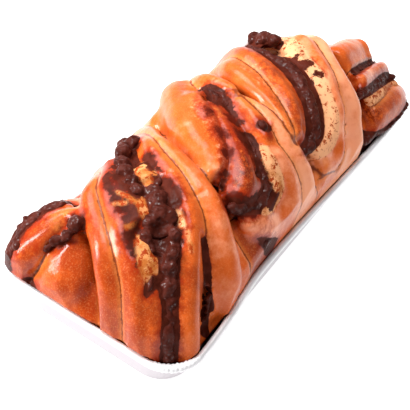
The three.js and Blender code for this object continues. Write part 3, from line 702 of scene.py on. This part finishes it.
def bread():
    """The dough: every hump fused, then the creases, splits and small unevenness pressed in."""
    shape = bmesh.new()
    lower_loaf(shape)
    for names in HUMPS:
        add_hump(shape, names)
    inside = swept("inside", DOUGH_STRANDS.values(), 0.5)
    shape.from_mesh(inside)
    bpy.data.meshes.remove(inside)
    add_balls(shape, [(x, y, z, radius - LUMP_SINK) for x, y, z, radius in LUMPS])
    piece = thinned(fused("bread", shape, BREAD_VOXEL, BREAD_SMOOTHING))
    mesh = piece.data
    points, normals = points_of(mesh), normals_of(mesh)

    names = list(SURFACE)
    stack = np.array([distance_to(points, path) for path in SURFACE.values()])
    is_chocolate = np.array([name in CHOCOLATE_STRANDS for name in names])
    is_crumb = np.array([name in CRUMB_STRANDS for name in names])
    is_second = np.array([name in SECOND_LAYERS for name in names])
    crease = stack[is_second].min(0) - stack[~is_second & ~is_chocolate].min(0)
    lumps = np.min([np.linalg.norm(points - ball[:3], axis=1) - ball[3] for ball in LUMPS], axis=0)
    chocolate = np.minimum(stack[is_chocolate].min(0), lumps)
    covered = stack[~is_chocolate].min(0) - chocolate
    ragged = np.clip((covered + 0.8) / 2, 0, 1)

    depth = CREASE_DEPTH * np.exp(-(crease / CREASE_WIDTH) ** 2) + 0.4 * ragged
    depth += ragged * (0.6 * noise_at(points, 5, 6) + 0.4 * noise_at(points, 2.6, 7))
    for name in GROOVED:
        outside = np.maximum(stack[names.index(name)], 0)
        depth += GROOVE_DEPTH * np.exp(-(outside / GROOVE_WIDTH) ** 2)
    for start, end in SPLITS:
        off = distance_to(points, [(*start, 0), (*end, 0)])
        depth += SPLIT_DEPTH * np.exp(-(off / SPLIT_WIDTH) ** 2)
    above = np.clip((points[:, 2] - RIM_HEIGHT) / 4, 0, 1)
    points = points - normals * (depth * above)[:, None]
    points = press_hollows(points, normals, HOLLOWS)
    wobble = 0.35 * noise_at(points, 18, 1) + 0.12 * noise_at(points, 4, 2)
    points = points + normals * (wobble * above)[:, None]
    move_points(mesh, held_in_tray(pressed_to_foil(points)))

    set_attribute(mesh, "chocolate", covered)
    smeared = np.maximum(inside_spots(points, SMEARS), inside_strokes(points, SMEAR_STROKES))
    set_attribute(mesh, "near_chocolate", np.minimum(chocolate, -smeared))
    set_attribute(mesh, "crumb", stack[~is_crumb].min(0) - stack[is_crumb].min(0))
    set_attribute(mesh, "crease", crease)

    weights = np.exp(-(stack - stack.min(0)) / BROWNING_BLEND)
    bake = np.array([BAKE.get(name, MID_BAKE) for name in names])
    set_attribute(mesh, "bake", (weights * bake[:, None]).sum(0) / weights.sum(0))
    stain = np.zeros(len(points))
    for x, y, z, radius, strength in STAINS:
        off = np.linalg.norm(points - (x, y, z), axis=1) / (radius * 1.4)
        stain = np.maximum(stain, strength * np.clip(1.2 - off, 0, 1))
    set_attribute(mesh, "stain", stain)
    set_attribute(mesh, "smeared", smeared)
    set_attribute(mesh, "crumb_stroke", inside_strokes(points, CRUMB_STROKES))
    return piece


def strewn(paths):
    """Small lumps along the ribbons, where the spread bubbled up."""
    chance = random.Random(5)
    balls = []
    for path in paths:
        for x, y, z, radius in smoothed(path, 3):
            size = chance.uniform(1.2, 2.6)
            side, along, up = (chance.uniform(-0.7, 0.7) * radius for _ in range(3))
            balls.append((x + along, y + side, z + abs(up), size))
    return balls


def filling():
    """The filling: ribbons and lumps fused, then roughened as baked chocolate spread is."""
    shape = bmesh.new()
    ribbons = swept("ribbons", CHOCOLATE_STRANDS.values(), -RIBBON_SINK)
    shape.from_mesh(ribbons)
    bpy.data.meshes.remove(ribbons)
    add_balls(shape, LUMPS)
    add_balls(shape, strewn([CHOCOLATE_STRANDS[name] for name in LUMPY]))
    piece = fused("chocolate_filling", shape, CHOCOLATE_VOXEL, CHOCOLATE_SMOOTHING)
    mesh = piece.data
    points, normals = points_of(mesh), normals_of(mesh)
    rough = 0.8 * noise_at(points, 6, 3) + 0.7 * noise_at(points, 3.4, 4)
    rough += 0.8 * (0.25 - np.abs(noise_at(points, 2.4, 5)))
    points = points + normals * rough[:, None]
    points = press_hollows(points, normals, HOLLOWS)
    move_points(mesh, held_in_tray(pressed_to_foil(points)))
    return piece


# ---------------------------------------------------------------- the tray
def outline(inset, corner, depth, steps, crimp=0):
    """Points round the tray's plan, anticlockwise, at this inset, with the foil folded at corners."""
    corner_steps, long_steps, short_steps = steps
    cx = HALF_LENGTH - inset - corner
    cy = HALF_WIDTH - inset - corner
    corners = [(cx, cy), (-cx, cy), (-cx, -cy), (cx, -cy)]
    plan = []
    for k, (x, y) in enumerate(corners):
        for i in range(corner_steps + 1):
            turn = (k + i / corner_steps) * math.pi / 2
            plan.append((x + corner * math.cos(turn), y + corner * math.sin(turn)))
        start = plan[-1]
        next_x, next_y = corners[(k + 1) % 4]
        side_steps = long_steps if k % 2 == 0 else short_steps
        for i in range(1, side_steps):
            share = i / side_steps
            plan.append((start[0] + (next_x - x) * share, start[1] + (next_y - y) * share))
    plan = np.array(plan)
    middles = np.clip(plan, (-cx, -cy), (cx, cy))
    arms = plan - middles
    bends = np.arctan2(np.abs(arms[:, 1]), np.abs(arms[:, 0]))
    in_corner = np.sin(2 * bends) ** 0.5 * (np.abs(arms).min(1) > 0.01)
    uneven = 0.3 + 0.7 * np.sin(bends * CORNER_FOLDS * 1.7 + 1) ** 2
    folds = crimp * in_corner * uneven * np.sin(bends * CORNER_FOLDS * 4) ** 2
    plan -= arms / corner * folds[:, None]
    plan[:, 1] -= side_pull(plan[:, 0], depth) * np.clip(plan[:, 1] / cy, -1, 1)
    return plan


def foil_tray():
    """The tray: a ring of foil drawn up from the base, rolled at the rim and crimped at the corners."""
    steps = (56, 60, 24)
    bead_height = RIM_HEIGHT - BEAD_RADIUS
    wall_top = bead_height - BEAD_RADIUS
    section = [(WALL_FLARE + BASE_EDGE, 0), (WALL_FLARE + BASE_EDGE * 0.3, BASE_EDGE * 0.3),
               (WALL_FLARE, BASE_EDGE)]
    for i in range(1, 9):
        share = i / 8
        section.append((WALL_FLARE + (BEAD_RADIUS - WALL_FLARE) * share,
                        BASE_EDGE + (wall_top - BASE_EDGE) * share))
    for degrees in range(-60, 211, 30):
        turn = math.radians(degrees)
        section.append((BEAD_RADIUS * (1 - math.cos(turn)), bead_height + BEAD_RADIUS * math.sin(turn)))
    section += [(BEAD_RADIUS + FOIL, wall_top), (WALL_FLARE + FOIL, BASE_EDGE + FOIL),
                (WALL_FLARE + BASE_EDGE + FOIL, FOIL)]

    around = len(outline(0, RIM_CORNER, 0, steps))
    shape = bmesh.new()
    ring = bmesh.ops.create_circle(shape, cap_ends=False, segments=around, radius=0.05)["verts"]
    edges = shape.edges[:]
    first = ring
    for level, (inset, z) in enumerate(section):
        if level:
            drawn = bmesh.ops.extrude_edge_only(shape, edges=edges)["geom"]
            edges = [part for part in drawn if isinstance(part, bmesh.types.BMEdge)]
            new = [part for part in drawn if isinstance(part, bmesh.types.BMVert)]
            ring = new
        corner = RIM_CORNER - inset * (RIM_CORNER - BASE_CORNER) / WALL_FLARE
        plan = outline(inset, corner, SIDE_PULL * z / RIM_HEIGHT, steps, CRIMP * z / RIM_HEIGHT)
        for vert, (x, y) in zip(ring, plan):
            vert.co = Vector((x, y, z)) * MM
    bmesh.ops.edgeloop_fill(shape, edges=[edge for edge in shape.edges if edge.is_boundary])
    bmesh.ops.recalc_face_normals(shape, faces=shape.faces)
    mesh = bpy.data.meshes.new("foil_tray_skin")
    for face in shape.faces:
        face.smooth = True
    shape.to_mesh(mesh)
    shape.free()
    return new_piece("foil_tray_skin", mesh)


# ---------------------------------------------------------------- materials
def linear(code):
    """An sRGB hex colour as linear red, green, blue and alpha."""
    channels = [int(code[i:i + 2], 16) / 255 for i in (1, 3, 5)]
    return (*[c / 12.92 if c <= 0.04045 else ((c + 0.055) / 1.055) ** 2.4 for c in channels], 1)


def add_node(tree, kind, settings=None, **inputs):
    """A node with its settings; an input is a value or a socket to link."""
    node = tree.nodes.new(kind)
    for key, value in (settings or {}).items():
        setattr(node, key, value)
    for key, value in inputs.items():
        socket = node.inputs[int(key[1:]) if key[1:].isdigit() else key.replace("_", " ")]
        if isinstance(value, bpy.types.NodeSocket):
            tree.links.new(value, socket)
        else:
            socket.default_value = value
    return node


def new_material(name):
    material = bpy.data.materials.new(name)
    material.use_nodes = True
    tree = material.node_tree
    tree.nodes.clear()
    output = tree.nodes.new("ShaderNodeOutputMaterial")
    return material, tree, output


def attribute(tree, name):
    return add_node(tree, "ShaderNodeAttribute", {"attribute_name": name}).outputs["Fac"]


def texture_noise(tree, place, size_mm, detail, roughness=0.55):
    """Noise with features about size_mm across."""
    return add_node(tree, "ShaderNodeTexNoise", None, Vector=place, Scale=1 / (size_mm * MM),
                    Detail=detail, Roughness=roughness).outputs["Fac"]


def math_node(tree, operation, first, second=0.0, clamp=False):
    return add_node(tree, "ShaderNodeMath", {"operation": operation, "use_clamp": clamp},
                    _0=first, _1=second).outputs[0]


def ramp(tree, value, low, high):
    """0 below low, 1 above high, eased between."""
    return add_node(tree, "ShaderNodeMapRange", {"interpolation_type": "SMOOTHSTEP"}, Value=value,
                    From_Min=low, From_Max=high).outputs["Result"]


def mix(tree, share, first, second, blend="MIX"):
    return add_node(tree, "ShaderNodeMix", {"data_type": "RGBA", "blend_type": blend},
                    _0=share, _6=first, _7=second).outputs[2]


def mix_value(tree, share, first, second):
    return add_node(tree, "ShaderNodeMix", None, _0=share, _2=first, _3=second).outputs[0]


def bumped(tree, height, strength, depth_mm):
    """Normals tilted by a height that stands for relief about depth_mm deep."""
    return add_node(tree, "ShaderNodeBump", None, Strength=strength, Distance=depth_mm * MM,
                    Height=height).outputs[0]


def baked_crust():
    """Egg-washed sweet dough, baked: a glazed orange-brown skin that is paler where the dough
    opened late, matt cream crumb where it tore, and dark brown where chocolate soaked in."""
    material, tree, output = new_material("egg_washed_baked_dough")
    place = add_node(tree, "ShaderNodeTexCoord").outputs["Object"]
    broad = texture_noise(tree, place, 22, 3)
    patch = texture_noise(tree, place, 7, 4)
    fine = texture_noise(tree, place, 1.6, 3)
    grain = texture_noise(tree, place, 0.7, 2)
    feather = texture_noise(tree, place, 3, 6, 0.75)

    def signed(texture, amount):
        return math_node(tree, "MULTIPLY", math_node(tree, "SUBTRACT", texture, 0.5), amount)

    def plus(first, second):
        return math_node(tree, "ADD", first, second)

    def times(first, second):
        return math_node(tree, "MULTIPLY", first, second)

    # Browning, from pale gold through orange-brown to deep brown.
    bake = plus(attribute(tree, "bake"), signed(broad, 0.9))
    bake = plus(bake, plus(signed(patch, 0.55), signed(feather, 0.4)))
    bake = plus(bake, times(attribute(tree, "stain"), signed(feather, 6.0)))
    # The palest colour is tinted pink: partly the pale crust's own colour, partly painted sheen where
    # the palest strands catch the lights.
    colour = mix(tree, ramp(tree, bake, 0.0, 0.5), linear("#f59e74"), linear("#d15a1b"))
    colour = mix(tree, ramp(tree, bake, 0.45, 0.95), colour, linear("#9c3508"))
    colour = mix(tree, ramp(tree, bake, 0.9, 1.4), colour, linear("#651a05"))
    colour = mix(tree, times(ramp(tree, grain, 0.5, 0.66), 0.16), colour, linear("#f0a060"))

    # Creases: a paler band of stretched dough, and inside it a thin dark line that is partly the
    # chocolate seam between layers and partly painted shade in the crease.
    crease = math_node(tree, "ABSOLUTE", plus(attribute(tree, "crease"), signed(patch, 1.6)))
    crease = math_node(tree, "SUBTRACT", crease, times(ramp(tree, feather, 0.5, 0.6), 0.5))
    colour = mix(tree, times(ramp(tree, crease, 4.2, 0.6), 0.3), colour, linear("#e78f45"))
    # The dark crease line: partly chocolate seam, partly painted shade.
    colour = mix(tree, times(ramp(tree, crease, 0.9, 0.1), 0.8), colour, linear("#5c1c08"))

    # Torn crumb, with brown specks.
    ragged = plus(signed(patch, 7.0), signed(feather, 7.0))
    torn = ramp(tree, plus(attribute(tree, "crumb"), signed(feather, 7.0)), -1.0, 1.0)
    scraped = ramp(tree, plus(attribute(tree, "crumb_stroke"), signed(feather, 7.0)), -1.0, 1.0)
    crumb_colour = mix(tree, ramp(tree, bake, 0.1, 1.0), linear("#efab7c"), linear("#cd8850"))
    mottle = times(ramp(tree, patch, 0.46, 0.58), ramp(tree, bake, 0.2, 0.8))
    crumb_colour = mix(tree, mottle, crumb_colour, linear("#b5652c"))
    specks = plus(feather, times(bake, 0.05))
    crumb_colour = mix(tree, ramp(tree, specks, 0.55, 0.6), crumb_colour, linear("#98360f"))

    # Chocolate: a red-brown edge where it soaked in, and a thin dark smear where it lies on top.
    reach = math_node(tree, "SUBTRACT", attribute(tree, "near_chocolate"),
                      times(attribute(tree, "stain"), 5.0))
    reach = math_node(tree, "SUBTRACT", reach, ragged)
    colour = mix(tree, times(ramp(tree, reach, 4.5, 0.2), 0.9), colour, linear("#962703"))
    soaked = ramp(tree, reach, 0.6, -1.8)
    colour = mix(tree, soaked, colour, linear("#551406"))
    smear = math_node(tree, "MAXIMUM", plus(attribute(tree, "chocolate"), signed(feather, 2.2)),
                      plus(attribute(tree, "smeared"), ragged))
    smear = ramp(tree, smear, -0.4, 0.3)
    smear_colour = mix(tree, ramp(tree, patch, 0.4, 0.65), linear("#401307"), linear("#552014"))
    colour = mix(tree, torn, colour, crumb_colour)
    colour = mix(tree, smear, colour, smear_colour)
    colour = mix(tree, scraped, colour, crumb_colour)
    crumb = math_node(tree, "MAXIMUM", torn, scraped)

    # The glaze: full on the crust, thin near the rim, and all but gone on crumb and chocolate.
    dull = math_node(tree, "MAXIMUM", math_node(tree, "MAXIMUM", smear, soaked), crumb)
    roughness = mix_value(tree, crumb, mix_value(tree, dull, 0.36, 0.6), 0.8)
    height = plus(plus(times(fine, 0.4), times(grain, 0.3)), times(feather, 0.4))
    bump = bumped(tree, height, 0.6, 0.55)
    height_up = add_node(tree, "ShaderNodeSeparateXYZ", None, Vector=place).outputs["Z"]
    washed = ramp(tree, height_up, RIM_HEIGHT * MM, (RIM_HEIGHT + WASH_FADE) * MM)
    glaze = mix_value(tree, dull, mix_value(tree, washed, 0.1, 0.45), 0.05)
    ripple = bumped(tree, feather, 0.3, 0.4)
    shader = add_node(tree, "ShaderNodeBsdfPrincipled", None, Base_Color=colour, Roughness=roughness,
                      Normal=bump, Specular_IOR_Level=0.05,
                      Coat_Weight=glaze, Coat_Roughness=0.08, Coat_Normal=ripple)
    tree.links.new(shader.outputs[0], output.inputs[0])
    return material


def baked_chocolate():
    """Dark chocolate spread that bubbled and set in the oven: near-black brown with a dull sheen,
    broken into many small bright points by its pitted surface."""
    material, tree, output = new_material("baked_dark_chocolate_filling")
    place = add_node(tree, "ShaderNodeTexCoord").outputs["Object"]
    lumps = texture_noise(tree, place, 5, 3)
    pits = texture_noise(tree, place, 1.1, 3)
    colour = mix(tree, ramp(tree, lumps, 0.35, 0.65), linear("#3e150d"), linear("#50221a"))
    roughness = mix_value(tree, ramp(tree, pits, 0.4, 0.6), 0.28, 0.45)
    bump = bumped(tree, pits, 0.5, 0.4)
    shader = add_node(tree, "ShaderNodeBsdfPrincipled", None, Base_Color=colour, Roughness=roughness,
                      Normal=bump, Specular_IOR_Level=0.05, Coat_Roughness=0.06,
                      Coat_Weight=ramp(tree, pits, 0.56, 0.66), Coat_Normal=bump)
    tree.links.new(shader.outputs[0], output.inputs[0])
    return material


def pressed_foil():
    """Thin aluminium foil, pressed to shape, with fine dents. Its colour is painted light: the rolled
    rim is painted bright as a painted highlight, and the walls below are painted greyer and duller as
    painted shade."""
    material, tree, output = new_material("pressed_aluminium_foil")
    place = add_node(tree, "ShaderNodeTexCoord").outputs["Object"]
    height = add_node(tree, "ShaderNodeSeparateXYZ", None, Vector=place).outputs["Z"]
    # Painted light by height: the rim band is painted bright as a highlight and the walls painted grey
    # as shade. The same mask makes the walls more metallic.
    rim = ramp(tree, height, (RIM_HEIGHT - 5) * MM, (RIM_HEIGHT - 2) * MM)
    colour = mix(tree, rim, linear("#b9b0b6"), linear("#eeecee"))
    dents = texture_noise(tree, place, 9, 3)
    bump = bumped(tree, dents, 0.25, 0.5)
    shader = add_node(tree, "ShaderNodeBsdfPrincipled", None, Base_Color=colour, Roughness=0.32,
                      Metallic=mix_value(tree, rim, 0.5, 0.25), Normal=bump)
    tree.links.new(shader.outputs[0], output.inputs[0])
    return material


# ---------------------------------------------------------------- the studio
def pale_floor():
    """White paper that glows a little, so that shadows on it stay pale."""
    mesh = bpy.data.meshes.new("floor")
    shape = bmesh.new()
    bmesh.ops.create_grid(shape, x_segments=1, y_segments=1, size=8)
    shape.to_mesh(mesh)
    shape.free()
    floor = new_piece("floor", mesh)
    material, tree, output = new_material("matt_white_paper")
    shader = add_node(tree, "ShaderNodeBsdfPrincipled", None, Base_Color=(0.5, 0.5, 0.5, 1),
                      Roughness=0.9, Emission_Color=(1, 1, 1, 1), Emission_Strength=0.88)
    tree.links.new(shader.outputs[0], output.inputs[0])
    mesh.materials.append(material)
    return floor


def soft_light(name, azimuth, elevation, distance, width, height, power):
    """A rounded soft box that faces the loaf. Azimuth is anticlockwise from +X."""
    light = bpy.data.lights.new(name, "AREA")
    light.shape = "ELLIPSE"
    light.size = width
    light.size_y = height
    light.energy = power
    lamp = bpy.data.objects.new(name, light)
    bpy.context.collection.objects.link(lamp)
    turn, rise = math.radians(azimuth), math.radians(elevation)
    way = Vector((math.cos(turn) * math.cos(rise), math.sin(turn) * math.cos(rise), math.sin(rise)))
    lamp.location = way * distance + Vector((0, 0, 0.04))
    lamp.rotation_euler = way.to_track_quat("Z", "Y").to_euler()
    return lamp


def studio():
    world = bpy.data.worlds.new("white_room")
    world.use_nodes = True
    background = world.node_tree.nodes["Background"]
    background.inputs["Color"].default_value = (1, 1, 1, 1)
    background.inputs["Strength"].default_value = 0.3
    bpy.context.scene.world = world
    soft_light("key_softbox", 135, 30, 0.9, 0.18, 0.7, 12.5)
    soft_light("back_softbox", 75, 45, 1.0, 0.6, 0.6, 6.5)
    soft_light("top_softbox", 60, 80, 0.9, 0.5, 0.5, 6)
    bpy.context.scene.view_settings.view_transform = "Standard"


def camera():
    """Above the near end, looking down along the loaf, rolled a little as a hand-held shot is."""
    distance = 516.9
    target = Vector((-6.88, 7.58, 0)) * MM
    elevation, heading, roll = math.radians(45.282), math.radians(63.894), math.radians(-9.794)
    lens = bpy.data.cameras.new("camera")
    lens.sensor_width = 36
    lens.lens = 79.34
    lens.clip_start = 0.01
    viewer = bpy.data.objects.new("camera", lens)
    bpy.context.collection.objects.link(viewer)
    across = Vector((math.cos(heading), -math.sin(heading), 0))
    level = Vector((math.sin(heading), math.cos(heading), 0))
    forward = level * math.cos(elevation) - Vector((0, 0, math.sin(elevation)))
    upward = level * math.sin(elevation) + Vector((0, 0, math.cos(elevation)))
    right = across * math.cos(roll) - upward * math.sin(roll)
    top = across * math.sin(roll) + upward * math.cos(roll)
    viewer.matrix_world = Matrix((right, top, -forward)).transposed().to_4x4()
    viewer.location = target - forward * distance * MM
    bpy.context.scene.camera = viewer


def finished(piece, material, node):
    """A piece given its material and put in the place of a node."""
    piece.data.materials.clear()
    piece.data.materials.append(material)
    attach(piece, "root")
    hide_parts(node)


finished(bread(), baked_crust(), "loaf")
finished(filling(), baked_chocolate(), "loaf")
finished(foil_tray(), pressed_foil(), "foil_tray")
pale_floor()
studio()
camera()
